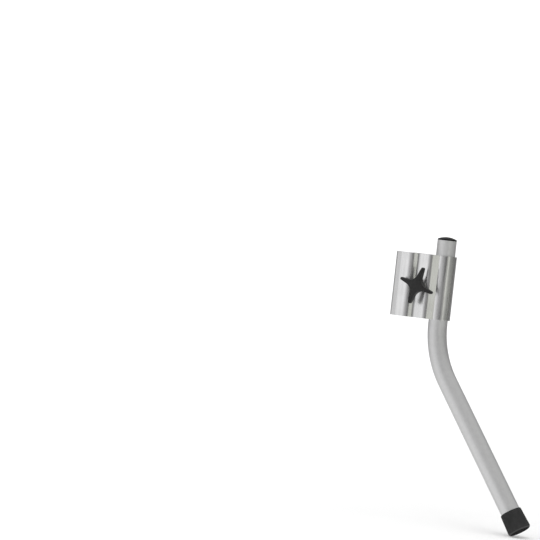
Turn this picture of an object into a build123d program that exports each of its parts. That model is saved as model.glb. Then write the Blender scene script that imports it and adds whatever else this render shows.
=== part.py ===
"""Clamp-on support leg for a ladder: two extruded jaws, a star knob and a bent tube on a rubber foot.

Millimetres. +Z runs up along the jaws, +X points from their hooks to the tube and the knob faces -Y.
The origin is the middle of the channel between the jaws.
"""
import os
from math import asin, atan2, cos, degrees, hypot, radians, sin, sqrt, tan

from build123d import *

# Bar section that the jaws close round
stile_width = 20.0
stile_depth = 63.0

# Extruded jaws
jaw_length = 100.0
jaw_wall = 4.5
hook_gap = 4.8
hook_reach = 10.0
hook_bevel_start = 6.6
hook_bevel_angle = 16.0
hook_corner_radius = 8.0
hook_tip_radius = 1.5
rib_height = 2.5
rib_width = 3.0
rib_pitch = 5.0
rib_count = 3
rib_tip_radius = 0.5
step_setback = 4.3
step_drop = 9.2
step_angle = 49.0
step_radius = 13.0
step_foot_radius = 6.0
shoulder_radius = 10.5
ring_wall = 3.0
seat_clearance = 0.08
seat_lip_depth = 10.0
knee_wall = 1.0
crease_setback = 0.4
split_gap = 4.0

# Leg tube
tube_diameter = 30.0
tube_wall = 2.0
tube_above_clamp = 24.5
bend_below_clamp = 6.0
bend_radius = 150.0
bend_angle = 36.0
lower_length = 250.5

# Plug in the tube's upper end
plug_head_height = 5.2
plug_dome = 3.6
plug_edge_radius = 1.2
plug_length = 16.0
plug_core_wall = 2.0
plug_clearance = 0.05
plug_rib_count = 4
plug_rib_depth = 1.2
plug_rib_height = 1.4

# Rubber foot and the steel disc that spreads the tube's load in it
foot_length = 33.5
foot_wall = 1.7
foot_flare = 1.5
foot_base = 6.0
foot_lip_radius = 1.4
foot_sole_radius = 4.0
tread_land_radius = 7.0
tread_groove_width = 1.8
tread_groove_depth = 1.5
tread_groove_pitch = 3.8
tread_groove_count = 2
foot_disc_thickness = 1.5

# Clamp bolt with a cup head and a square neck, and the knob's washer
bolt_diameter = 8.0
bolt_hole_clearance = 0.5
bolt_head_diameter = 15.0
bolt_head_height = 4.4
bolt_head_rim = 0.8
neck_width = 8.4
neck_length = 4.2
neck_clearance = 0.15
bolt_tip_chamfer = 1.0
bolt_to_tube = 1.1
thread_engagement = 15.4
thread_clearance = 0.05
washer_diameter = 15.0
washer_thickness = 1.6
washer_bore_clearance = 0.2
washer_to_step = 0.1

# Star knob with a threaded insert
knob_arms = 4
knob_lean = 17.3
arm_length = 27.6
arm_tip_radius = 2.3
arm_root_width = 10.6
arm_root_radius = 14.5
hub_height = 10.6
rim_height = 6.2
rim_setback = 1.6
rim_clearance = 3.0
knob_edge_radius = 1.6
boss_height = 10.0
boss_base_diameter = 14.8
boss_top_diameter = 20.0
boss_rim_radius = 0.8
insert_diameter = 11.6
insert_groove_depth = 0.8
insert_groove_width = 3.0
insert_end_gap = 1.6

# Places worked out from the sizes above, outward from the channel
hook_inside = stile_width / 2 + hook_gap
hook_outside = hook_inside + jaw_wall
stile_flat = stile_depth / 2 + rib_height + jaw_wall
hook_tip = stile_depth / 2 - hook_reach
bevel = radians(hook_bevel_angle)
corner_turn = 90 - hook_bevel_angle
corner_tangent = hook_corner_radius * tan(radians(corner_turn / 2))
corner_start = stile_flat - (hook_outside - hook_bevel_start) * tan(bevel) - corner_tangent
inner_bevel_start = hook_bevel_start - jaw_wall * tan(bevel / 2)
bolt_flat = stile_flat - step_drop
slope = radians(step_angle)
step_slope_drop = step_drop - (step_radius + step_foot_radius) * (1 - cos(slope))
step_run = (step_radius + step_foot_radius) * sin(slope) + step_slope_drop / tan(slope)
step_start = stile_width / 2 - step_setback
step_foot = step_start + step_run
bolt_x = step_foot + washer_to_step + washer_diameter / 2
bolt_radius = bolt_diameter / 2
bolt_hole_radius = bolt_radius + bolt_hole_clearance
tube_radius = tube_diameter / 2
tube_bore_radius = tube_radius - tube_wall
tube_x = bolt_x + bolt_radius + bolt_to_tube + tube_radius
seat_radius = tube_radius + seat_clearance
ring_radius = seat_radius + ring_wall
knee_x = bolt_x + bolt_hole_radius + knee_wall
crest = sqrt(ring_radius**2 - crease_setback**2)
shoulder_slope_drop = bolt_flat - crest - shoulder_radius * (1 - cos(slope))
shoulder_slope_run = shoulder_slope_drop / tan(slope)
shoulder_start = tube_x - crease_setback - shoulder_slope_run - shoulder_radius * sin(slope)
crease_angle = -90 - degrees(asin(crease_setback / ring_radius))
ring_end_angle = -degrees(asin(split_gap / 2 / ring_radius))
seat_end_angle = -degrees(asin(split_gap / 2 / seat_radius))
seat_end_run = sqrt(seat_radius**2 - (split_gap / 2) ** 2)
seat_lip_angle = -180 + degrees(asin(seat_lip_depth / seat_radius))

# Tube's centre line
clamp_top = jaw_length / 2
tube_top = clamp_top + tube_above_clamp
bend_top = -clamp_top - bend_below_clamp
lean = radians(bend_angle)
lower_way = Vector(sin(lean), 0, -cos(lean))
bend_end = Vector(tube_x + bend_radius * (1 - cos(lean)), 0, bend_top - bend_radius * sin(lean))
sole_centre = bend_end + lower_way * (lower_length + foot_disc_thickness + foot_base)

# Knob's stack, outward from the bolt flat
washer_seat = Plane((bolt_x, -bolt_flat, 0), x_dir=(1, 0, 0), z_dir=(0, -1, 0))
knob_seat = washer_seat.offset(washer_thickness)
knob_section = Plane(knob_seat.origin, x_dir=(1, 0, 0), z_dir=(0, 0, -1))
bolt_axis = Axis((bolt_x, 0, 0), (0, -1, 0))
head_seat = Plane((bolt_x, bolt_flat, 0), x_dir=(1, 0, 0), z_dir=(0, 1, 0))
bolt_length = 2 * bolt_flat + washer_thickness + thread_engagement
insert_length = thread_engagement + insert_end_gap

os.makedirs("parts", exist_ok=True)


def finish(piece, name):
    """Labels a finished piece and writes its file."""
    piece.part.label = name
    export_step(piece.part, f"parts/{name}.step")


# Section of one jaw, drawn for the front: hook, flat, step, bolt flat, shoulder and tube seat
with BuildSketch() as grip_rib:
    Rectangle(rib_width, rib_height, align=(Align.CENTER, Align.MIN))
    fillet(grip_rib.vertices().group_by(Axis.Y)[-1], rib_tip_radius)

with BuildSketch() as jaw_section:
    with BuildLine():
        hook = Line((-hook_outside, -hook_tip), (-hook_outside, -corner_start))
        hook_corner = JernArc(hook @ 1, hook % 1, hook_corner_radius, corner_turn)
        hook_bevel = Line(hook_corner @ 1, (-hook_bevel_start, -stile_flat))
        flat = Line(hook_bevel @ 1, (step_start, -stile_flat))
        step_top = JernArc(flat @ 1, (1, 0), step_radius, step_angle)
        step_slope = PolarLine(step_top @ 1, step_slope_drop / sin(slope), step_angle)
        step_bottom = JernArc(step_slope @ 1, step_slope % 1, step_foot_radius, -step_angle)
        bolt_land = Line(step_bottom @ 1, (shoulder_start, -bolt_flat))
        shoulder = JernArc(bolt_land @ 1, (1, 0), shoulder_radius, step_angle)
        shoulder_slope = PolarLine(shoulder @ 1, shoulder_slope_drop / sin(slope), step_angle)
        ring = CenterArc((tube_x, 0), ring_radius, crease_angle, ring_end_angle - crease_angle)
        split_face = Line(ring @ 1, (tube_x + seat_end_run, -split_gap / 2))
        seat = CenterArc((tube_x, 0), seat_radius, seat_end_angle, seat_lip_angle - seat_end_angle)
        lip = Line(seat @ 1, (knee_x, -seat_lip_depth))
        knee = Line(lip @ 1, (knee_x, -bolt_flat + jaw_wall))
        inner_bolt_land = Line(knee @ 1, ((step_bottom @ 1).X, -bolt_flat + jaw_wall))
        inner_step_bottom = JernArc(
            inner_bolt_land @ 1, (-1, 0), step_foot_radius + jaw_wall, step_angle
        )
        inner_slope = PolarLine(
            inner_step_bottom @ 1, step_slope_drop / sin(slope), step_angle + 180
        )
        inner_step_top = JernArc(inner_slope @ 1, inner_slope % 1, step_radius - jaw_wall, -step_angle)
        inner_flat = Line(inner_step_top @ 1, (-inner_bevel_start, -stile_flat + jaw_wall))
        inner_bevel = Line(inner_flat @ 1, hook_corner @ 1 + Vector(sin(bevel), cos(bevel)) * jaw_wall)
        inner_corner = JernArc(inner_bevel @ 1, inner_bevel % 1, hook_corner_radius - jaw_wall, -corner_turn)
        inner_hook = Line(inner_corner @ 1, (-hook_inside, -hook_tip))
        Line(inner_hook @ 1, hook @ 0)
    make_face()
    tips = jaw_section.vertices().sort_by_distance((-hook_outside, -hook_tip))[:2]
    fillet(tips, hook_tip_radius)
    with Locations((0, -stile_flat + jaw_wall)):
        with GridLocations(rib_pitch, 0, rib_count, 1):
            add(grip_rib.sketch)

with BuildPart() as front_jaw:
    add(jaw_section.sketch)
    extrude(amount=jaw_length / 2, both=True)
    with Locations(washer_seat):
        Hole(bolt_hole_radius, depth=2 * jaw_wall)
finish(front_jaw, "front_jaw")

with BuildPart() as rear_jaw:
    with BuildSketch():
        mirror(jaw_section.sketch, about=Plane.XZ)
    extrude(amount=jaw_length / 2, both=True)
    with BuildSketch(head_seat):
        Rectangle(neck_width + 2 * neck_clearance, neck_width + 2 * neck_clearance)
    extrude(amount=-2 * jaw_wall, mode=Mode.SUBTRACT)
finish(rear_jaw, "rear_jaw")

# Cup-head bolt: its square neck keeps it from turning in the rear jaw
head_radius = bolt_head_diameter / 2
with BuildPart() as clamp_bolt:
    with BuildSketch(Plane(head_seat.origin, x_dir=(1, 0, 0), z_dir=(0, 0, 1))):
        with BuildLine():
            cup = TangentArc((0, bolt_head_height), (head_radius, bolt_head_rim), tangent=(1, 0))
            Polyline(cup @ 1, (head_radius, 0), (0, 0), cup @ 0)
        make_face()
    revolve(axis=bolt_axis)
    with BuildSketch(head_seat):
        Rectangle(neck_width, neck_width)
    extrude(amount=-neck_length)
    with BuildSketch(head_seat):
        Circle(bolt_radius)
    extrude(amount=-bolt_length)
    tip_edge = clamp_bolt.edges().sort_by(Axis.Y)[0]
    chamfer(tip_edge, bolt_tip_chamfer)
finish(clamp_bolt, "clamp_bolt")

with BuildPart() as knob_washer:
    with BuildSketch(washer_seat):
        Circle(washer_diameter / 2)
        Circle(bolt_radius + washer_bore_clearance, mode=Mode.SUBTRACT)
    extrude(amount=washer_thickness)
finish(knob_washer, "knob_washer")

# Threaded sleeve with a groove that keys it in the knob
insert_radius = insert_diameter / 2
with BuildPart() as knob_insert:
    with BuildSketch(knob_section):
        with Locations((bolt_radius + thread_clearance, 0)):
            Rectangle(
                insert_radius - bolt_radius - thread_clearance, insert_length, align=(Align.MIN, Align.MIN)
            )
        with Locations((insert_radius, insert_length / 2)):
            Rectangle(2 * insert_groove_depth, insert_groove_width, mode=Mode.SUBTRACT)
    revolve(axis=bolt_axis)
finish(knob_insert, "knob_insert")

# Star knob: tapered arms that thin out to their tips, round a hub on a conical boss
knob_height = boss_height + hub_height
rim_radius = arm_length + arm_tip_radius + rim_clearance
front_sag = hub_height - rim_height - rim_setback
front_dome_radius = (rim_radius**2 + front_sag**2) / (2 * front_sag)
back_dome_radius = (rim_radius**2 + rim_setback**2) / (2 * rim_setback)
root_half = arm_root_width / 2
arm_taper = atan2(root_half, arm_length) - asin(arm_tip_radius / hypot(arm_length, root_half))
taper_end = arm_length + arm_tip_radius * sin(arm_taper)
taper_half = arm_tip_radius * cos(arm_taper)
with BuildPart() as knob_body:
    with BuildSketch(knob_seat.offset(boss_height - rim_clearance)) as star:
        with PolarLocations(0, knob_arms, start_angle=90 - knob_lean):
            Polygon(
                (0, -root_half),
                (taper_end, -taper_half),
                (taper_end, taper_half),
                (0, root_half),
                align=None,
            )
        with PolarLocations(arm_length, knob_arms, start_angle=90 - knob_lean):
            Circle(arm_tip_radius)
        roots = star.vertices().sort_by_distance((0, 0))[:knob_arms]
        fillet(roots, arm_root_radius)
    extrude(amount=hub_height + 2 * rim_clearance)
    with Locations(knob_seat.offset(knob_height - front_dome_radius).origin):
        Sphere(front_dome_radius, mode=Mode.INTERSECT)
    with Locations(knob_seat.offset(boss_height + back_dome_radius).origin):
        Sphere(back_dome_radius, mode=Mode.INTERSECT)
    rims = knob_body.edges().filter_by(Axis.Y, reverse=True)
    fillet(rims, knob_edge_radius)
    with BuildSketch(knob_section):
        with BuildLine():
            Polyline(
                (0, 0),
                (boss_base_diameter / 2, 0),
                (boss_top_diameter / 2, boss_height),
                (boss_top_diameter / 2, boss_height + hub_height / 2),
                (0, boss_height + hub_height / 2),
                close=True,
            )
        make_face()
    revolve(axis=bolt_axis)
    boss_rim = knob_body.edges().filter_by(GeomType.CIRCLE).sort_by(Axis.Y)[-1]
    fillet(boss_rim, boss_rim_radius)
    add(knob_insert.part, mode=Mode.SUBTRACT)
    with BuildSketch(knob_seat):
        Circle(bolt_radius + thread_clearance)
    extrude(amount=insert_length, mode=Mode.SUBTRACT)
finish(knob_body, "knob_body")

# Bent tube
with BuildPart() as leg_tube:
    with BuildLine(Plane.XZ):
        upper = Line((tube_x, tube_top), (tube_x, bend_top))
        bend = JernArc(upper @ 1, upper % 1, bend_radius, bend_angle)
        PolarLine(bend @ 1, lower_length, bend_angle - 90)
    with BuildSketch(Plane((tube_x, 0, tube_top), z_dir=(0, 0, -1))):
        Circle(tube_radius)
        Circle(tube_bore_radius, mode=Mode.SUBTRACT)
    sweep()
finish(leg_tube, "leg_tube")

# Ribbed push-in plug: a domed head over a hollow stem
plug_stem_radius = tube_bore_radius - plug_clearance
plug_core_radius = plug_stem_radius - plug_rib_depth
with BuildPart() as top_plug:
    with BuildSketch(Plane((tube_x, 0, tube_top), x_dir=(1, 0, 0), z_dir=(0, -1, 0))) as plug_section:
        with BuildLine():
            Line((0, 0), (tube_radius, 0))
            Line((tube_radius, 0), (tube_radius, plug_head_height - plug_dome))
            crown = ThreePointArc(
                (tube_radius, plug_head_height - plug_dome),
                (0, plug_head_height),
                (-tube_radius, plug_head_height - plug_dome),
            )
            Line(crown @ 1, (-tube_radius, 0))
            Line((-tube_radius, 0), (0, 0))
        make_face()
        Rectangle(4 * tube_radius, 4 * tube_radius, align=(Align.MAX, Align.CENTER), mode=Mode.SUBTRACT)
        head_rim = (tube_radius, plug_head_height - plug_dome)
        fillet(plug_section.vertices().sort_by_distance(head_rim)[0], plug_edge_radius)
        Rectangle(plug_core_radius, plug_length, align=(Align.MIN, Align.MAX))
        Rectangle(
            plug_core_radius - plug_core_wall, plug_length, align=(Align.MIN, Align.MAX), mode=Mode.SUBTRACT
        )
        with Locations((plug_core_radius - plug_core_wall / 2, -plug_length / 2)):
            with GridLocations(0, plug_length / plug_rib_count, 1, plug_rib_count):
                Rectangle(
                    plug_core_wall / 2 + plug_rib_depth, plug_rib_height, align=(Align.MIN, Align.CENTER)
                )
    revolve(axis=Axis((tube_x, 0, 0), (0, 0, 1)))
finish(top_plug, "top_plug")

# Rubber foot over the tube's lower end, with a ringed sole, and its load disc
foot_plane = Plane(sole_centre, x_dir=(cos(lean), 0, sin(lean)), z_dir=(0, -1, 0))
foot_axis = Axis(sole_centre, lower_way * -1)
foot_top_radius = tube_radius + foot_wall
sole_outer_radius = foot_top_radius + foot_flare
with BuildPart() as foot:
    with BuildSketch(foot_plane) as foot_section:
        with BuildLine():
            Polyline(
                (0, 0),
                (sole_outer_radius, 0),
                (foot_top_radius, foot_length),
                (tube_radius, foot_length),
                (tube_radius, foot_base),
                (0, foot_base),
                close=True,
            )
        make_face()
        sole_edge = foot_section.vertices().sort_by_distance((sole_outer_radius, 0))[0]
        fillet(sole_edge, foot_sole_radius)
        lip_edge = foot_section.vertices().sort_by_distance((foot_top_radius, foot_length))[0]
        fillet(lip_edge, foot_lip_radius)
        for groove in range(tread_groove_count):
            with Locations((tread_land_radius + tread_groove_pitch * groove, 0)):
                Rectangle(
                    tread_groove_width,
                    2 * tread_groove_depth,
                    align=(Align.MIN, Align.CENTER),
                    mode=Mode.SUBTRACT,
                )
    revolve(axis=foot_axis)
finish(foot, "foot")

with BuildPart() as foot_disc:
    with BuildSketch(Plane(sole_centre - lower_way * foot_base, z_dir=lower_way * -1)):
        Circle(tube_radius)
    extrude(amount=foot_disc_thickness)
finish(foot_disc, "foot_disc")
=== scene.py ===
"""Dresses a clamp-on ladder support leg: finishes, drawn tube, threaded bolt and a pale studio.

Metres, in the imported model's frame: +Z runs up along the jaws, +X from their hooks to the tube, and the
knob faces -Y.
"""
import math

import bmesh
import bpy
from bpy.props import FloatProperty, FloatVectorProperty, IntProperty, PointerProperty
from mathutils import Matrix, Vector


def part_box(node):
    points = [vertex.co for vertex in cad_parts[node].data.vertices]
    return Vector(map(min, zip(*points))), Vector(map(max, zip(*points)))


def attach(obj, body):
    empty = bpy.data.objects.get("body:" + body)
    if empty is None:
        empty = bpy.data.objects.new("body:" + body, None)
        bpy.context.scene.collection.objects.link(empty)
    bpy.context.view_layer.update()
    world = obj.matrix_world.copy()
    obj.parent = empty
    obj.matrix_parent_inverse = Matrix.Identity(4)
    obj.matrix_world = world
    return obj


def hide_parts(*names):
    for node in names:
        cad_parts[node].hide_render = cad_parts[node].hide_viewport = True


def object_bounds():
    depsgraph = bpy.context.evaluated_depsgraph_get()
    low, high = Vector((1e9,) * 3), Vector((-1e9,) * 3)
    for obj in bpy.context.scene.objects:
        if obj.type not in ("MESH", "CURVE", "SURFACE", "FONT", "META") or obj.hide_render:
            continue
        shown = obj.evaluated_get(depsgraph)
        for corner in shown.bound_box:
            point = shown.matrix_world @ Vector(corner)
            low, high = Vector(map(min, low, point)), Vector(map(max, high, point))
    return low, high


bl_info = {
    "name": "Ladder support leg",
    "version": (1, 0, 0),
    "blender": (4, 5, 0),
    "location": "View3D > Sidebar > Support Leg",
    "description": "Finishes, tube, bolt and studio of a clamp-on ladder support leg",
    "category": "Object",
}

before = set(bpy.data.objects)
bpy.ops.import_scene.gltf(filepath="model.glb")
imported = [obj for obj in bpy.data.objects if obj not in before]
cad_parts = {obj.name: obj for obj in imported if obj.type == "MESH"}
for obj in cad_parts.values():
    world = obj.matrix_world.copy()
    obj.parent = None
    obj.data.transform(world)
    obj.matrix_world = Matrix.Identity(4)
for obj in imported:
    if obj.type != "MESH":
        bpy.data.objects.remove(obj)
CAD_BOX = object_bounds()
PLUG_LOW, PLUG_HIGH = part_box("top_plug")
TUBE_LOW, TUBE_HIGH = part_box("leg_tube")
BOLT_LOW, BOLT_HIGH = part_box("clamp_bolt")
WASHER_LOW, WASHER_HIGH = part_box("knob_washer")

# Brightness of the studio's panels by bearing in degrees, from the front towards +X
PANELS = (
    (-180, 0.30), (-160, 0.40), (-110, 0.14), (-62, 0.68), (-40, 0.76), (-22, 0.95),
    (-6, 0.54), (24, 0.18), (36, 0.04), (50, 0.02), (57, 0.28), (63, 0.82),
    (70, 0.74), (80, 0.18), (112, 0.20), (134, 0.08), (160, 0.10), (180, 0.30),
)

# Shares of the pitch in a metric thread
THREAD_DEPTH = 0.613
THREAD_FLANK = 0.3125
THREAD_CREST = 0.125


class TubeSizes(bpy.types.PropertyGroup):
    """Sizes of the bent tube"""

    axis_x: FloatProperty(
        name="Axis",
        description="Distance of the upper run's axis from the middle of the jaws' channel",
        default=(PLUG_LOW.x + PLUG_HIGH.x) / 2,
        subtype="DISTANCE",
        unit="LENGTH",
    )
    top: FloatProperty(
        name="Top",
        description="Height of the tube's upper end",
        default=TUBE_HIGH.z,
        subtype="DISTANCE",
        unit="LENGTH",
    )
    diameter: FloatProperty(
        name="Diameter",
        description="Outside of the tube",
        default=TUBE_HIGH.y - TUBE_LOW.y,
        subtype="DISTANCE",
        unit="LENGTH",
    )
    wall: FloatProperty(
        name="Wall",
        description="Thickness of the tube's wall",
        default=0.002,
        subtype="DISTANCE",
        unit="LENGTH",
    )
    bend_top: FloatProperty(
        name="Start of bend",
        description="Height at which the tube starts to bend",
        default=-0.056,
        subtype="DISTANCE",
        unit="LENGTH",
    )
    bend_radius: FloatProperty(
        name="Bend radius",
        description="Radius of the bend along the tube's axis",
        default=0.150,
        subtype="DISTANCE",
        unit="LENGTH",
    )
    bend_angle: FloatProperty(
        name="Bend angle",
        description="Angle between the upper and the lower run",
        default=math.radians(36),
        subtype="ANGLE",
        unit="ROTATION",
    )
    lower_length: FloatProperty(
        name="Lower run",
        description="Length of the straight run below the bend",
        default=0.2505,
        subtype="DISTANCE",
        unit="LENGTH",
    )
    deburr: FloatProperty(
        name="Deburring",
        description="Chamfer on the sawn ends",
        default=0.0003,
        subtype="DISTANCE",
        unit="LENGTH",
    )


class BoltSizes(bpy.types.PropertyGroup):
    """Sizes of the cup-head bolt"""

    diameter: FloatProperty(
        name="Diameter",
        description="Outside of the thread",
        default=0.008,
        subtype="DISTANCE",
        unit="LENGTH",
    )
    pitch: FloatProperty(
        name="Pitch",
        description="Distance between the turns of the thread",
        default=0.00125,
        subtype="DISTANCE",
        unit="LENGTH",
    )
    head_diameter: FloatProperty(
        name="Head",
        description="Width of the cup head",
        default=BOLT_HIGH.x - BOLT_LOW.x,
        subtype="DISTANCE",
        unit="LENGTH",
    )
    head_height: FloatProperty(
        name="Head height",
        description="Height of the cup head",
        default=0.0044,
        subtype="DISTANCE",
        unit="LENGTH",
    )
    head_rim: FloatProperty(
        name="Head rim",
        description="Height of the head's upright rim",
        default=0.0008,
        subtype="DISTANCE",
        unit="LENGTH",
    )
    neck_width: FloatProperty(
        name="Neck",
        description="Width of the square neck under the head",
        default=0.0084,
        subtype="DISTANCE",
        unit="LENGTH",
    )
    neck_length: FloatProperty(
        name="Neck length",
        description="Length of the square neck",
        default=0.0042,
        subtype="DISTANCE",
        unit="LENGTH",
    )
    neck_chamfer: FloatProperty(
        name="Neck corners",
        description="Chamfer on the neck's corners",
        default=0.00042,
        subtype="DISTANCE",
        unit="LENGTH",
    )
    plain_length: FloatProperty(
        name="Plain shank",
        description="Length under the head that carries no thread",
        default=0.022,
        subtype="DISTANCE",
        unit="LENGTH",
    )


class LegFinishes(bpy.types.PropertyGroup):
    """Colours of the leg's materials"""

    jaw_colour: FloatVectorProperty(
        name="Jaws",
        description="Mill-finish aluminium of the extruded jaws",
        default=(0.88, 0.88, 0.88),
        subtype="COLOR",
        min=0.0,
        max=1.0,
    )
    tube_colour: FloatVectorProperty(
        name="Tube",
        description="Drawn aluminium of the tube",
        default=(0.82, 0.82, 0.82),
        subtype="COLOR",
        min=0.0,
        max=1.0,
    )
    zinc_colour: FloatVectorProperty(
        name="Bolt and washer",
        description="Zinc plating on the steel parts",
        default=(0.60, 0.62, 0.64),
        subtype="COLOR",
        min=0.0,
        max=1.0,
    )
    brass_colour: FloatVectorProperty(
        name="Insert",
        description="Turned brass of the knob's threaded insert",
        default=(0.74, 0.55, 0.27),
        subtype="COLOR",
        min=0.0,
        max=1.0,
    )
    knob_colour: FloatVectorProperty(
        name="Knob",
        description="Moulded plastic of the star knob",
        default=(0.012, 0.012, 0.012),
        subtype="COLOR",
        min=0.0,
        max=1.0,
    )
    plug_colour: FloatVectorProperty(
        name="Plug",
        description="Moulded plastic of the plug in the tube's upper end",
        default=(0.008, 0.008, 0.008),
        subtype="COLOR",
        min=0.0,
        max=1.0,
    )
    rubber_colour: FloatVectorProperty(
        name="Foot",
        description="Rubber of the foot",
        default=(0.021, 0.021, 0.021),
        subtype="COLOR",
        min=0.0,
        max=1.0,
    )


class StudioSettings(bpy.types.PropertyGroup):
    """Camera, lights and floor"""

    camera_place: FloatVectorProperty(
        name="Camera",
        description="Where the camera stands",
        default=(1.62540, -2.96708, 0.06463),
        subtype="TRANSLATION",
        unit="LENGTH",
        precision=5,
    )
    camera_aim: FloatVectorProperty(
        name="Aim",
        description="Point in the middle of the picture",
        default=(-0.26985, 0.0, -0.00541),
        subtype="TRANSLATION",
        unit="LENGTH",
        precision=5,
    )
    camera_roll: FloatProperty(
        name="Roll",
        description="Turn of the camera about its line of sight",
        default=math.radians(6.38),
        subtype="ANGLE",
        unit="ROTATION",
    )
    camera_lens: FloatProperty(
        name="Lens",
        description="Focal length on a 36 mm sensor",
        default=143.11,
        unit="CAMERA",
    )
    key_power: FloatProperty(
        name="Softbox",
        description="Power of the large softbox at the front",
        default=9.0,
        unit="POWER",
    )
    top_power: FloatProperty(
        name="Top light",
        description="Power of the softbox overhead",
        default=30.0,
        unit="POWER",
    )
    cool_tint: FloatVectorProperty(
        name="Cool tint",
        description="Tint of the panels in front and on the -X side",
        default=(0.995, 0.995, 1.0),
        subtype="COLOR",
        min=0.0,
        max=1.0,
    )
    warm_tint: FloatVectorProperty(
        name="Warm tint",
        description="Tint of the panels on the +X side",
        default=(0.985, 1.0, 0.91),
        subtype="COLOR",
        min=0.0,
        max=1.0,
    )
    warm_from: FloatProperty(
        name="Warm from",
        description="Bearing from which the panels are warm",
        default=math.radians(50),
        subtype="ANGLE",
        unit="ROTATION",
    )
    ceiling: FloatProperty(
        name="Ceiling",
        description="Brightness of the studio overhead",
        default=0.60,
        min=0.0,
    )
    floor_glow: FloatProperty(
        name="Floor glow",
        description="Brightness that the metal mirrors from below",
        default=0.88,
        min=0.0,
    )
    floor_colour: FloatVectorProperty(
        name="Floor",
        description="Paint of the floor and backdrop",
        default=(0.60, 0.60, 0.60),
        subtype="COLOR",
        min=0.0,
        max=1.0,
    )
    floor_radius: FloatProperty(
        name="Floor radius",
        description="Distance at which the floor starts to sweep up",
        default=4.5,
        subtype="DISTANCE",
        unit="LENGTH",
    )
    sweep_radius: FloatProperty(
        name="Sweep radius",
        description="Radius of the curve from floor to backdrop",
        default=2.0,
        subtype="DISTANCE",
        unit="LENGTH",
    )
    backdrop_height: FloatProperty(
        name="Backdrop height",
        description="Height of the backdrop's upper edge above the floor",
        default=7.0,
        subtype="DISTANCE",
        unit="LENGTH",
    )
    segments: IntProperty(
        name="Backdrop segments",
        description="Facets round the backdrop",
        default=128,
        min=16,
    )


class SupportLeg(bpy.types.PropertyGroup):
    """Everything about the leg that a user may change"""

    tube: PointerProperty(type=TubeSizes, name="Tube", description="Sizes of the bent tube")
    bolt: PointerProperty(type=BoltSizes, name="Bolt", description="Sizes of the cup-head bolt")
    finishes: PointerProperty(type=LegFinishes, name="Finishes", description="Colours of the materials")
    studio: PointerProperty(type=StudioSettings, name="Studio", description="Camera, lights and floor")


def add_node(tree, kind, inputs=None, **settings):
    """Adds a shader node with its settings and the values of its unlinked inputs."""
    made = tree.nodes.new(kind)
    for name, value in settings.items():
        setattr(made, name, value)
    for name, value in (inputs or {}).items():
        made.inputs[name].default_value = value
    return made


def start_material(name, sockets):
    """Makes a material with a principled shader, and returns it with its shader."""
    material = bpy.data.materials.new(name)
    material.use_nodes = True
    shader = material.node_tree.nodes["Principled BSDF"]
    for socket, value in sockets.items():
        shader.inputs[socket].default_value = value
    return material, shader


def object_place(tree):
    """The place on the object, in metres."""
    return add_node(tree, "ShaderNodeTexCoord").outputs["Object"]


def grain(tree, place, scale, detail=3.0, stretch=(1.0, 1.0, 1.0)):
    """Noise of so many patches to the metre, drawn out along an axis where the stretch is small."""
    mapping = add_node(tree, "ShaderNodeMapping", {"Scale": stretch})
    noise = add_node(tree, "ShaderNodeTexNoise", {"Scale": scale, "Detail": detail, "Roughness": 0.6})
    tree.links.new(place, mapping.inputs["Vector"])
    tree.links.new(mapping.outputs["Vector"], noise.inputs["Vector"])
    return noise.outputs["Fac"]


def spread(tree, value, low, high, start=0.3, end=0.7):
    """Maps a value between start and end to the span from low to high."""
    mapped = add_node(
        tree, "ShaderNodeMapRange", {"From Min": start, "From Max": end, "To Min": low, "To Max": high}
    )
    tree.links.new(value, mapped.inputs["Value"])
    return mapped.outputs["Result"]


def tint(tree, value, dark, light, start=0.3, end=0.7):
    """A colour between two tints by a value."""
    ramp = add_node(tree, "ShaderNodeValToRGB")
    first, last = ramp.color_ramp.elements
    first.position, last.position = start, end
    first.color = (*dark, 1.0)
    last.color = (*light, 1.0)
    tree.links.new(value, ramp.inputs["Fac"])
    return ramp.outputs["Color"]


def shade(colour, factor):
    """A colour made lighter or darker."""
    return tuple(min(1.0, part * factor) for part in colour)


def feed(shader, **sources):
    """Links values to the shader's sockets, each named in small letters with underscores."""
    for name, source in sources.items():
        shader.id_data.links.new(source, shader.inputs[name.replace("_", " ").title()])


def bump(tree, height, strength, distance, under=None):
    """A bump from a height, laid over another bump if one is given."""
    made = add_node(tree, "ShaderNodeBump", {"Strength": strength, "Distance": distance})
    tree.links.new(height, made.inputs["Height"])
    if under is not None:
        tree.links.new(under, made.inputs["Normal"])
    return made.outputs["Normal"]


def broken_edges(tree, radius):
    """A normal that rounds the sharp edges by so much."""
    return add_node(tree, "ShaderNodeBevel", {"Radius": radius}, samples=6).outputs["Normal"]


def join(tree, first, second, operation="ADD"):
    """Two values joined by a sum or another operation."""
    made = add_node(tree, "ShaderNodeMath", operation=operation)
    tree.links.new(first, made.inputs[0])
    tree.links.new(second, made.inputs[1])
    return made.outputs["Value"]


def pick(tree, chooser, first, second):
    """A blend from one value to another."""
    made = add_node(tree, "ShaderNodeMix", data_type="FLOAT")
    tree.links.new(chooser, made.inputs["Factor"])
    tree.links.new(first, made.inputs["A"])
    tree.links.new(second, made.inputs["B"])
    return made.outputs["Result"]


def veil(tree, share, under, colour):
    """A plain colour laid over another one by a share."""
    made = add_node(tree, "ShaderNodeMix", data_type="RGBA")
    made.inputs["B"].default_value = (*colour, 1.0)
    tree.links.new(share, made.inputs["Factor"])
    tree.links.new(under, made.inputs["A"])
    return made.outputs["Result"]


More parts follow.
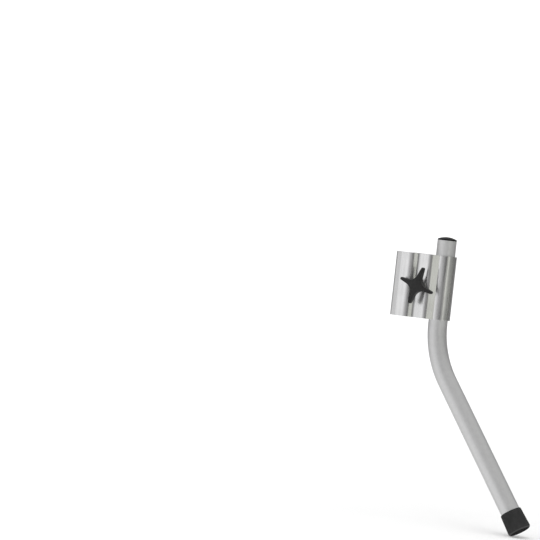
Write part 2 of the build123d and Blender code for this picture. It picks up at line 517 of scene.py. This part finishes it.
def extruded_aluminium(colour):
    """Mill finish: die lines along the extrusion and saw marks across its ends."""
    material, shader = start_material("extruded_aluminium", {"Metallic": 1.0})
    tree = material.node_tree
    place = object_place(tree)
    die_lines = grain(tree, place, scale=1400.0, detail=4.0, stretch=(1.0, 1.0, 0.012))
    die_bands = grain(tree, place, scale=160.0, detail=2.0, stretch=(1.0, 1.0, 0.04))
    blush = grain(tree, place, scale=22.0, detail=2.0)
    saw_centre = Vector((0.02, -0.16, 0.0))
    saw_place = add_node(tree, "ShaderNodeMapping", {"Location": -saw_centre})
    tree.links.new(place, saw_place.inputs["Vector"])
    saw_marks = add_node(
        tree,
        "ShaderNodeTexWave",
        {"Scale": 260.0, "Distortion": 2.0, "Detail": 2.0, "Detail Scale": 3.0},
        wave_type="RINGS",
        rings_direction="Z",
    ).outputs["Fac"]
    tree.links.new(saw_place.outputs["Vector"], saw_marks.node.inputs["Vector"])
    facing = add_node(tree, "ShaderNodeSeparateXYZ")
    surface = add_node(tree, "ShaderNodeNewGeometry")
    tree.links.new(surface.outputs["True Normal"], facing.inputs["Vector"])
    upward = add_node(tree, "ShaderNodeMath", operation="ABSOLUTE")
    tree.links.new(facing.outputs["Z"], upward.inputs[0])
    sawn = spread(tree, upward.outputs["Value"], low=0.0, high=1.0, start=0.8, end=0.9)
    lines = pick(tree, sawn, die_lines, saw_marks)
    tone = join(tree, join(tree, lines, die_bands), blush)
    streaks = spread(tree, tone, low=0.0, high=1.0, start=1.1, end=1.9)
    rough_line = spread(tree, lines, low=0.24, high=0.34)
    rough_sawn = spread(tree, saw_marks, low=0.34, high=0.46)
    edges = broken_edges(tree, radius=0.0005)
    feed(
        shader,
        base_color=tint(tree, streaks, dark=shade(colour, 0.93), light=shade(colour, 1.07)),
        roughness=pick(tree, sawn, rough_line, rough_sawn),
        normal=bump(tree, lines, strength=0.32, distance=0.00004, under=edges),
    )
    return material


def drawn_aluminium(colour):
    """Satin finish of a drawn tube, with fine lines that follow the bend."""
    material, shader = start_material(
        "drawn_aluminium", {"Metallic": 1.0, "Specular Tint": (0.45, 0.45, 0.45, 1.0)}
    )
    tree = material.node_tree
    place = add_node(tree, "ShaderNodeAttribute", attribute_name="drawn_place").outputs["Vector"]
    draw_lines = grain(tree, place, scale=1700.0, detail=4.0, stretch=(1.0, 1.0, 0.010))
    sand = grain(tree, place, scale=180.0, detail=4.0)
    satin = spread(tree, join(tree, draw_lines, sand), low=0.0, high=1.0, start=0.7, end=1.3)
    feed(
        shader,
        base_color=tint(tree, satin, dark=shade(colour, 0.97), light=shade(colour, 1.03)),
        roughness=spread(tree, satin, low=0.50, high=0.58, start=0.0, end=1.0),
        normal=bump(tree, draw_lines, strength=0.22, distance=0.00004),
    )
    return material


def moulded_plastic(name, colour, roughness):
    """Black moulding with the fine grain of a spark-eroded mould."""
    material, shader = start_material(
        name, {"Specular IOR Level": 0.35, "Specular Tint": (0.7, 0.7, 0.7, 1.0)}
    )
    tree = material.node_tree
    place = object_place(tree)
    mould_grain = grain(tree, place, scale=2600.0, detail=2.0)
    flow = grain(tree, place, scale=60.0, detail=3.0)
    feed(
        shader,
        base_color=tint(tree, flow, dark=shade(colour, 0.85), light=shade(colour, 1.3)),
        roughness=spread(tree, flow, low=roughness - 0.05, high=roughness + 0.06),
        normal=bump(tree, mould_grain, strength=0.22, distance=0.00006),
    )
    return material


def moulded_rubber(colour, way):
    """Pebbled black rubber with a painted highlight where its wall turns under, and painted shade on the
    rougher sole that faces a way.
    """
    material, shader = start_material(
        "moulded_rubber", {"Specular IOR Level": 0.2, "Specular Tint": (0.8, 0.8, 0.8, 1.0)}
    )
    tree = material.node_tree
    place = object_place(tree)
    pebble = grain(tree, place, scale=1500.0, detail=3.0)
    bloom = grain(tree, place, scale=45.0, detail=4.0)
    facing = add_node(tree, "ShaderNodeVectorMath", {1: way}, operation="DOT_PRODUCT")
    tree.links.new(add_node(tree, "ShaderNodeTexCoord").outputs["Normal"], facing.inputs[0])
    turned = facing.outputs["Value"]
    past_wall = spread(tree, turned, low=0.0, high=1.0, start=0.25, end=0.60)
    before_sole = spread(tree, turned, low=1.0, high=0.0, start=0.82, end=0.95)
    sole_for_painted_shade_and_roughness = spread(tree, turned, low=0.0, high=1.0, start=0.85, end=0.97)
    wall = tint(tree, bloom, dark=shade(colour, 0.8), light=shade(colour, 1.6))
    # Painted highlight: a lighter band on the fillet where the wall turns under to the sole
    wall_with_painted_highlight = veil(tree, join(tree, past_wall, before_sole, "MULTIPLY"), wall, shade(colour, 2.8))
    rough_wall = spread(tree, bloom, low=0.70, high=0.86)
    rough_sole = spread(tree, bloom, low=0.93, high=0.97)
    # Painted shade on the sole: its colour is far darker than the rubber's, and it is also rougher
    feed(
        shader,
        base_color=veil(tree, sole_for_painted_shade_and_roughness, wall_with_painted_highlight, shade(colour, 0.12)),
        roughness=pick(tree, sole_for_painted_shade_and_roughness, rough_wall, rough_sole),
        normal=bump(tree, pebble, strength=0.30, distance=0.00008),
    )
    return material


def zinc_plated_steel(colour):
    """Bright zinc with the faint mottle of its passivation."""
    material, shader = start_material("zinc_plated_steel", {"Metallic": 1.0})
    tree = material.node_tree
    place = object_place(tree)
    mottle = grain(tree, place, scale=240.0, detail=4.0)
    skin = grain(tree, place, scale=2200.0, detail=2.0)
    warm = (colour[0] * 1.06, colour[1] * 1.03, colour[2] * 0.93)
    feed(
        shader,
        base_color=tint(tree, mottle, dark=shade(colour, 0.92), light=warm),
        roughness=spread(tree, mottle, low=0.24, high=0.38),
        normal=bump(tree, skin, strength=0.12, distance=0.00003),
    )
    return material


def turned_brass(colour):
    """Brass with the rings that a lathe leaves round its axis."""
    material, shader = start_material("turned_brass", {"Metallic": 1.0})
    tree = material.node_tree
    place = object_place(tree)
    rings = grain(tree, place, scale=1800.0, detail=3.0, stretch=(0.02, 1.0, 0.02))
    feed(
        shader,
        base_color=tint(tree, rings, dark=shade(colour, 0.88), light=shade(colour, 1.06)),
        roughness=spread(tree, rings, low=0.22, high=0.36),
        normal=bump(tree, rings, strength=0.2, distance=0.00003),
    )
    return material


def dress(node, material):
    """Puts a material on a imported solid."""
    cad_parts[node].material_slots[0].material = material


def turn(count):
    """Angles of a full turn in equal steps."""
    return [2 * math.pi * step / count for step in range(count)]


def ring(bm, centre, across, over, radius, count):
    """A ring of vertices round a centre, in the plane of two unit vectors."""
    spokes = [across * math.cos(angle) + over * math.sin(angle) for angle in turn(count)]
    return [bm.verts.new(centre + spoke * radius) for spoke in spokes]


def band(bm, first, second):
    """Joins two rings of vertices with a band of quads."""
    count = len(first)
    for here in range(count):
        there = (here + 1) % count
        bm.faces.new((first[here], first[there], second[there], second[here]))


def make_piece(bm, name, material, body, crease):
    """Turns a finished mesh into a piece that rides on a body, smooth except at creases."""
    bmesh.ops.recalc_face_normals(bm, faces=bm.faces)
    mesh = bpy.data.meshes.new(name)
    bm.to_mesh(mesh)
    bm.free()
    mesh.shade_smooth()
    mesh.set_sharp_from_angle(angle=crease)
    mesh.materials.append(material)
    piece = bpy.data.objects.new(name, mesh)
    bpy.context.scene.collection.objects.link(piece)
    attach(piece, body)
    return piece


class LEG_OT_jaws(bpy.types.Operator):
    """Gives both extruded jaws their mill finish"""

    bl_idname = "support_leg.jaws"
    bl_label = "Jaws"

    def execute(self, context):
        finish = extruded_aluminium(context.scene.support_leg.finishes.jaw_colour)
        dress("front_jaw", finish)
        dress("rear_jaw", finish)
        return {"FINISHED"}


def way_down(turned):
    """The way that the tube runs where it has turned by an angle from straight down."""
    return Vector((math.sin(turned), 0.0, -math.cos(turned)))


def centre_line(size, along):
    """Point on the tube's centre line and the way it runs there, a distance along from the top."""
    upper_length = size.top - size.bend_top
    turned = min(max((along - upper_length) / size.bend_radius, 0.0), size.bend_angle)
    way = way_down(turned)
    upper_end = Vector((size.axis_x, 0.0, size.top - min(along, upper_length)))
    bent = Vector((1 - math.cos(turned), 0.0, -math.sin(turned))) * size.bend_radius
    past_bend = max(along - upper_length - size.bend_radius * size.bend_angle, 0.0)
    return upper_end + bent + way * past_bend, way


class LEG_OT_tube(bpy.types.Operator):
    """Draws the bent tube, with the place of each point on the straight tube it was drawn as"""

    bl_idname = "support_leg.tube"
    bl_label = "Bent tube"

    def execute(self, context):
        size = context.scene.support_leg.tube
        facets = 96
        bend_steps = 48
        upper_length = size.top - size.bend_top
        bend_length = size.bend_radius * size.bend_angle
        length = upper_length + bend_length + size.lower_length
        bend_rows = [upper_length + bend_length * step / bend_steps for step in range(bend_steps + 1)]
        radius = size.diameter / 2
        bore = radius - size.wall
        outside = [(0.0, radius - size.deburr), (size.deburr, radius)]
        outside += [(along, radius) for along in bend_rows]
        outside += [(length - size.deburr, radius), (length, radius - size.deburr)]
        inside = [(length, bore)] + [(along, bore) for along in reversed(bend_rows)] + [(0.0, bore)]
        bm = bmesh.new()
        drawn_place = bm.verts.layers.float_vector.new("drawn_place")
        rings = []
        for along, row_radius in outside + inside:
            point, way = centre_line(size, along)
            sideways = Vector((0.0, 1.0, 0.0))
            rings.append(ring(bm, point, sideways.cross(way), sideways, row_radius, facets))
            for vertex, angle in zip(rings[-1], turn(facets)):
                flat_x, flat_y = row_radius * math.cos(angle), row_radius * math.sin(angle)
                vertex[drawn_place] = (flat_x, flat_y, along)
        for first, second in zip(rings, rings[1:] + rings[:1]):
            band(bm, first, second)
        material = drawn_aluminium(context.scene.support_leg.finishes.tube_colour)
        tube = make_piece(bm, "drawn_tube", material, "leg", crease=math.radians(30))
        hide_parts("leg_tube")
        return {"FINISHED"}


def add_cup_head(bm, seat, size):
    """A domed head on a short rim, over a square neck with broken corners."""
    facets = 96
    dome_steps = 14
    across, over, up = Vector((1, 0, 0)), Vector((0, 0, 1)), Vector((0, 1, 0))
    radius = size.head_diameter / 2
    rim_edge = size.head_rim / 4
    rise = size.head_height - size.head_rim
    sphere = (radius**2 + rise**2) / (2 * rise)
    half_angle = math.asin(radius / sphere)
    rows = [(0.0, radius - rim_edge), (rim_edge, radius), (size.head_rim, radius)]
    for step in range(1, dome_steps):
        angle = half_angle * (1 - step / dome_steps)
        rows.append((size.head_height - sphere * (1 - math.cos(angle)), sphere * math.sin(angle)))
    rings = [ring(bm, seat + up * height, across, over, wide, facets) for height, wide in rows]
    for first, second in zip(rings, rings[1:]):
        band(bm, first, second)
    bm.faces.new(rings[0])
    crown = bm.verts.new(seat + up * size.head_height)
    for here in range(facets):
        bm.faces.new((rings[-1][here], rings[-1][(here + 1) % facets], crown))
    half = size.neck_width / 2
    broken = half - size.neck_chamfer
    corners = [(half, -broken), (half, broken), (broken, half), (-broken, half)]
    corners += [(-x, -z) for x, z in corners]
    neck = [
        [bm.verts.new(seat + across * x + over * z - up * depth) for x, z in corners]
        for depth in (0.0, size.neck_length)
    ]
    band(bm, *neck)
    for end in neck:
        bm.faces.new(end)


def add_thread(bm, seat, length, size):
    """A plain core with a helical ridge on it, chamfered at the tip and run out below the head."""
    facets = 36
    across, over, way = Vector((1, 0, 0)), Vector((0, 0, 1)), Vector((0, -1, 0))
    radius = size.diameter / 2
    depth = THREAD_DEPTH * size.pitch
    core = radius - depth
    sunk = core - depth / 10
    rows = [
        (0.0, radius),
        (size.plain_length, radius),
        (size.plain_length + size.pitch, core),
        (length - depth / 4, core),
        (length, core - depth / 4),
    ]
    rings = [ring(bm, seat + way * along, across, over, wide, facets) for along, wide in rows]
    for first, second in zip(rings, rings[1:]):
        band(bm, first, second)
    bm.faces.new(rings[0])
    bm.faces.new(rings[-1])
    flank = THREAD_FLANK * size.pitch
    crest = THREAD_CREST * size.pitch
    start = size.plain_length
    turns = (length - start - size.pitch) / size.pitch
    previous = None
    for step in range(int(turns * facets) + 1):
        angle = 2 * math.pi * step / facets
        along = start + size.pitch * step / facets
        outward = across * math.cos(angle) + over * math.sin(angle)
        tip_room = length - along - size.pitch / 2
        reach = core + min(depth, max(tip_room, 0.0))
        section = [
            (along, sunk),
            (along + flank, reach),
            (along + flank + crest, reach),
            (along + 2 * flank + crest, sunk),
        ]
        current = [bm.verts.new(seat + way * place + outward * wide) for place, wide in section]
        if previous:
            band(bm, previous, current)
        else:
            bm.faces.new(current)
        previous = current
    bm.faces.new(previous)


class LEG_OT_bolt(bpy.types.Operator):
    """Cuts the clamp bolt with its thread, square neck and cup head, and plates the steel parts"""

    bl_idname = "support_leg.bolt"
    bl_label = "Bolt and washer"

    def execute(self, context):
        size = context.scene.support_leg.bolt
        axis_x = (WASHER_LOW.x + WASHER_HIGH.x) / 2
        seat = Vector((axis_x, BOLT_HIGH.y - size.head_height, 0.0))
        bm = bmesh.new()
        add_cup_head(bm, seat, size)
        add_thread(bm, seat, seat.y - BOLT_LOW.y, size)
        plating = zinc_plated_steel(context.scene.support_leg.finishes.zinc_colour)
        bolt = make_piece(bm, "threaded_bolt", plating, "clamp_rear", crease=math.radians(25))
        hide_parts("clamp_bolt")
        dress("knob_washer", plating)
        dress("foot_disc", plating)
        return {"FINISHED"}


class LEG_OT_knob(bpy.types.Operator):
    """Gives the star knob its moulded grain and its insert a turned finish"""

    bl_idname = "support_leg.knob"
    bl_label = "Star knob"

    def execute(self, context):
        finishes = context.scene.support_leg.finishes
        plastic = moulded_plastic("knob_plastic_black", finishes.knob_colour, roughness=0.44)
        dress("knob_body", plastic)
        dress("knob_insert", turned_brass(finishes.brass_colour))
        return {"FINISHED"}


class LEG_OT_ends(bpy.types.Operator):
    """Gives the plug and the rubber foot on the tube's ends their finish"""

    bl_idname = "support_leg.ends"
    bl_label = "Plug and foot"

    def execute(self, context):
        finishes = context.scene.support_leg.finishes
        plastic = moulded_plastic("plug_plastic_black", finishes.plug_colour, roughness=0.62)
        dress("top_plug", plastic)
        way = way_down(context.scene.support_leg.tube.bend_angle)
        dress("foot", moulded_rubber(finishes.rubber_colour, way))
        return {"FINISHED"}


def add_softbox(name, aim, bearing, rise, distance, width, height, power):
    """A rectangular light that faces a point, on a bearing from the front towards +X."""
    light = bpy.data.lights.new(name, "AREA")
    light.shape = "RECTANGLE"
    light.size = width
    light.size_y = height
    light.energy = power
    lamp = bpy.data.objects.new(name, light)
    bpy.context.scene.collection.objects.link(lamp)
    level = Vector((math.sin(bearing), -math.cos(bearing), 0.0))
    towards = level * math.cos(rise) + Vector((0.0, 0.0, math.sin(rise)))
    lamp.location = aim + towards * distance
    lamp.rotation_euler = towards.to_track_quat("Z", "Y").to_euler()
    lamp.visible_camera = False
    lamp.visible_glossy = False


def studio_paint(colour):
    """White floor paint, lifted to an even white away from the leg."""
    white = (1.0, 1.0, 1.0, 1.0)
    material, shader = start_material(
        "studio_paint", {"Roughness": 0.9, "Specular IOR Level": 0.1, "Emission Color": white}
    )
    tree = material.node_tree
    place = object_place(tree)
    reach = add_node(tree, "ShaderNodeVectorMath", operation="LENGTH")
    tree.links.new(place, reach.inputs[0])
    brush = grain(tree, place, scale=3.0, detail=2.0)
    feed(
        shader,
        base_color=tint(tree, brush, dark=shade(colour, 0.98), light=shade(colour, 1.02)),
        emission_strength=spread(tree, reach.outputs["Value"], low=0.24, high=0.58, start=0.2, end=3.5),
    )
    return material


def add_backdrop(middle, studio):
    """A round floor that sweeps up into a backdrop on all sides."""
    floor_steps = 4
    sweep_steps = 16
    rows = [(studio.floor_radius * step / floor_steps, 0.0) for step in range(1, floor_steps + 1)]
    for step in range(1, sweep_steps + 1):
        angle = math.pi / 2 * step / sweep_steps
        rows.append(
            (
                studio.floor_radius + studio.sweep_radius * math.sin(angle),
                studio.sweep_radius * (1 - math.cos(angle)),
            )
        )
    rows.append((studio.floor_radius + studio.sweep_radius, studio.backdrop_height))
    across, over = Vector((1, 0, 0)), Vector((0, 1, 0))
    bm = bmesh.new()
    rings = [
        ring(bm, Vector((0, 0, height)), across, over, radius, studio.segments)
        for radius, height in rows
    ]
    bm.faces.new(rings[0])
    for first, second in zip(rings, rings[1:]):
        band(bm, second, first)
    mesh = bpy.data.meshes.new("backdrop")
    bm.to_mesh(mesh)
    bm.free()
    mesh.shade_smooth()
    mesh.materials.append(studio_paint(studio.floor_colour))
    backdrop = bpy.data.objects.new("backdrop", mesh)
    bpy.context.scene.collection.objects.link(backdrop)
    backdrop.location = middle
    backdrop.visible_glossy = False


def light_surround(studio):
    """The studio that the metal mirrors: panels round the horizon, pale above and below."""
    world = bpy.data.worlds.new("studio")
    bpy.context.scene.world = world
    world.use_nodes = True
    tree = world.node_tree
    background = tree.nodes["Background"]
    towards = add_node(tree, "ShaderNodeSeparateXYZ")
    tree.links.new(add_node(tree, "ShaderNodeTexCoord").outputs["Generated"], towards.inputs["Vector"])
    front = add_node(tree, "ShaderNodeMath", {1: -1.0}, operation="MULTIPLY")
    tree.links.new(towards.outputs["Y"], front.inputs[0])
    bearing = join(tree, towards.outputs["X"], front.outputs["Value"], "ARCTAN2")
    round_horizon = spread(tree, bearing, low=0.0, high=1.0, start=-math.pi, end=math.pi)
    panels = add_node(tree, "ShaderNodeValToRGB")
    stops = panels.color_ramp.elements
    for degrees, _ in PANELS[1:-1]:
        stops.new((degrees + 180) / 360)
    for stop, (degrees, level) in zip(stops, PANELS):
        warm = math.radians(degrees) > studio.warm_from
        stop.color = (*shade(studio.warm_tint if warm else studio.cool_tint, level), 1.0)
    tree.links.new(round_horizon, panels.inputs["Fac"])
    above = spread(tree, towards.outputs["Z"], low=0.0, high=1.0, start=0.10, end=0.45)
    below = spread(tree, towards.outputs["Z"], low=0.0, high=1.0, start=-0.08, end=-0.35)
    colour = panels.outputs["Color"]
    for share, level in ((above, studio.ceiling), (below, studio.floor_glow)):
        colour = veil(tree, share, colour, (level, level, level))
    tree.links.new(colour, background.inputs["Color"])


class LEG_OT_studio(bpy.types.Operator):
    """Sets the pale floor and backdrop, the soft lights and the camera"""

    bl_idname = "support_leg.studio"
    bl_label = "Studio"

    def execute(self, context):
        scene = context.scene
        studio = scene.support_leg.studio
        low, high = CAD_BOX
        middle = (low + high) / 2
        add_backdrop(Vector((middle.x, middle.y, low.z)), studio)
        light_surround(studio)
        add_softbox(
            "front_softbox",
            middle,
            bearing=math.radians(-38),
            rise=math.radians(25),
            distance=2.2,
            width=1.6,
            height=2.0,
            power=studio.key_power,
        )
        add_softbox(
            "top_softbox",
            middle,
            bearing=0.0,
            rise=math.radians(89),
            distance=2.4,
            width=2.4,
            height=2.4,
            power=studio.top_power,
        )
        scene.view_settings.view_transform = "Standard"
        camera_data = bpy.data.cameras.new("photo_camera")
        camera_data.lens = studio.camera_lens
        camera_data.sensor_width = 36.0
        camera = bpy.data.objects.new("photo_camera", camera_data)
        scene.collection.objects.link(camera)
        place, aim = Vector(studio.camera_place), Vector(studio.camera_aim)
        looking = (place - aim).to_track_quat("Z", "Y").to_matrix().to_4x4()
        rolled = Matrix.Rotation(studio.camera_roll, 4, "Z")
        camera.matrix_world = Matrix.Translation(place) @ looking @ rolled
        scene.camera = camera
        return {"FINISHED"}


class LEG_PT_panel(bpy.types.Panel):
    """Lists the leg's pieces and their settings"""

    bl_idname = "LEG_PT_panel"
    bl_label = "Support Leg"
    bl_space_type = "VIEW_3D"
    bl_region_type = "UI"
    bl_category = "Support Leg"

    def draw(self, context):
        leg = context.scene.support_leg
        for operator in OPERATORS:
            self.layout.operator(operator.bl_idname)
        for group in (leg.tube, leg.bolt, leg.finishes, leg.studio):
            box = self.layout.box()
            for name in group.__annotations__:
                box.prop(group, name)


OPERATORS = (LEG_OT_jaws, LEG_OT_tube, LEG_OT_bolt, LEG_OT_knob, LEG_OT_ends, LEG_OT_studio)
CLASSES = (TubeSizes, BoltSizes, LegFinishes, StudioSettings, SupportLeg, *OPERATORS, LEG_PT_panel)


def register():
    """Registers the classes and their settings."""
    for kind in CLASSES:
        bpy.utils.register_class(kind)
    bpy.types.Scene.support_leg = PointerProperty(type=SupportLeg)


def unregister():
    """Takes the settings and classes away again."""
    del bpy.types.Scene.support_leg
    for kind in reversed(CLASSES):
        bpy.utils.unregister_class(kind)


def main():
    """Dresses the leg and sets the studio."""
    register()
    bpy.ops.support_leg.jaws()
    bpy.ops.support_leg.tube()
    bpy.ops.support_leg.bolt()
    bpy.ops.support_leg.knob()
    bpy.ops.support_leg.ends()
    bpy.ops.support_leg.studio()


if __name__ == "__main__":
    main()
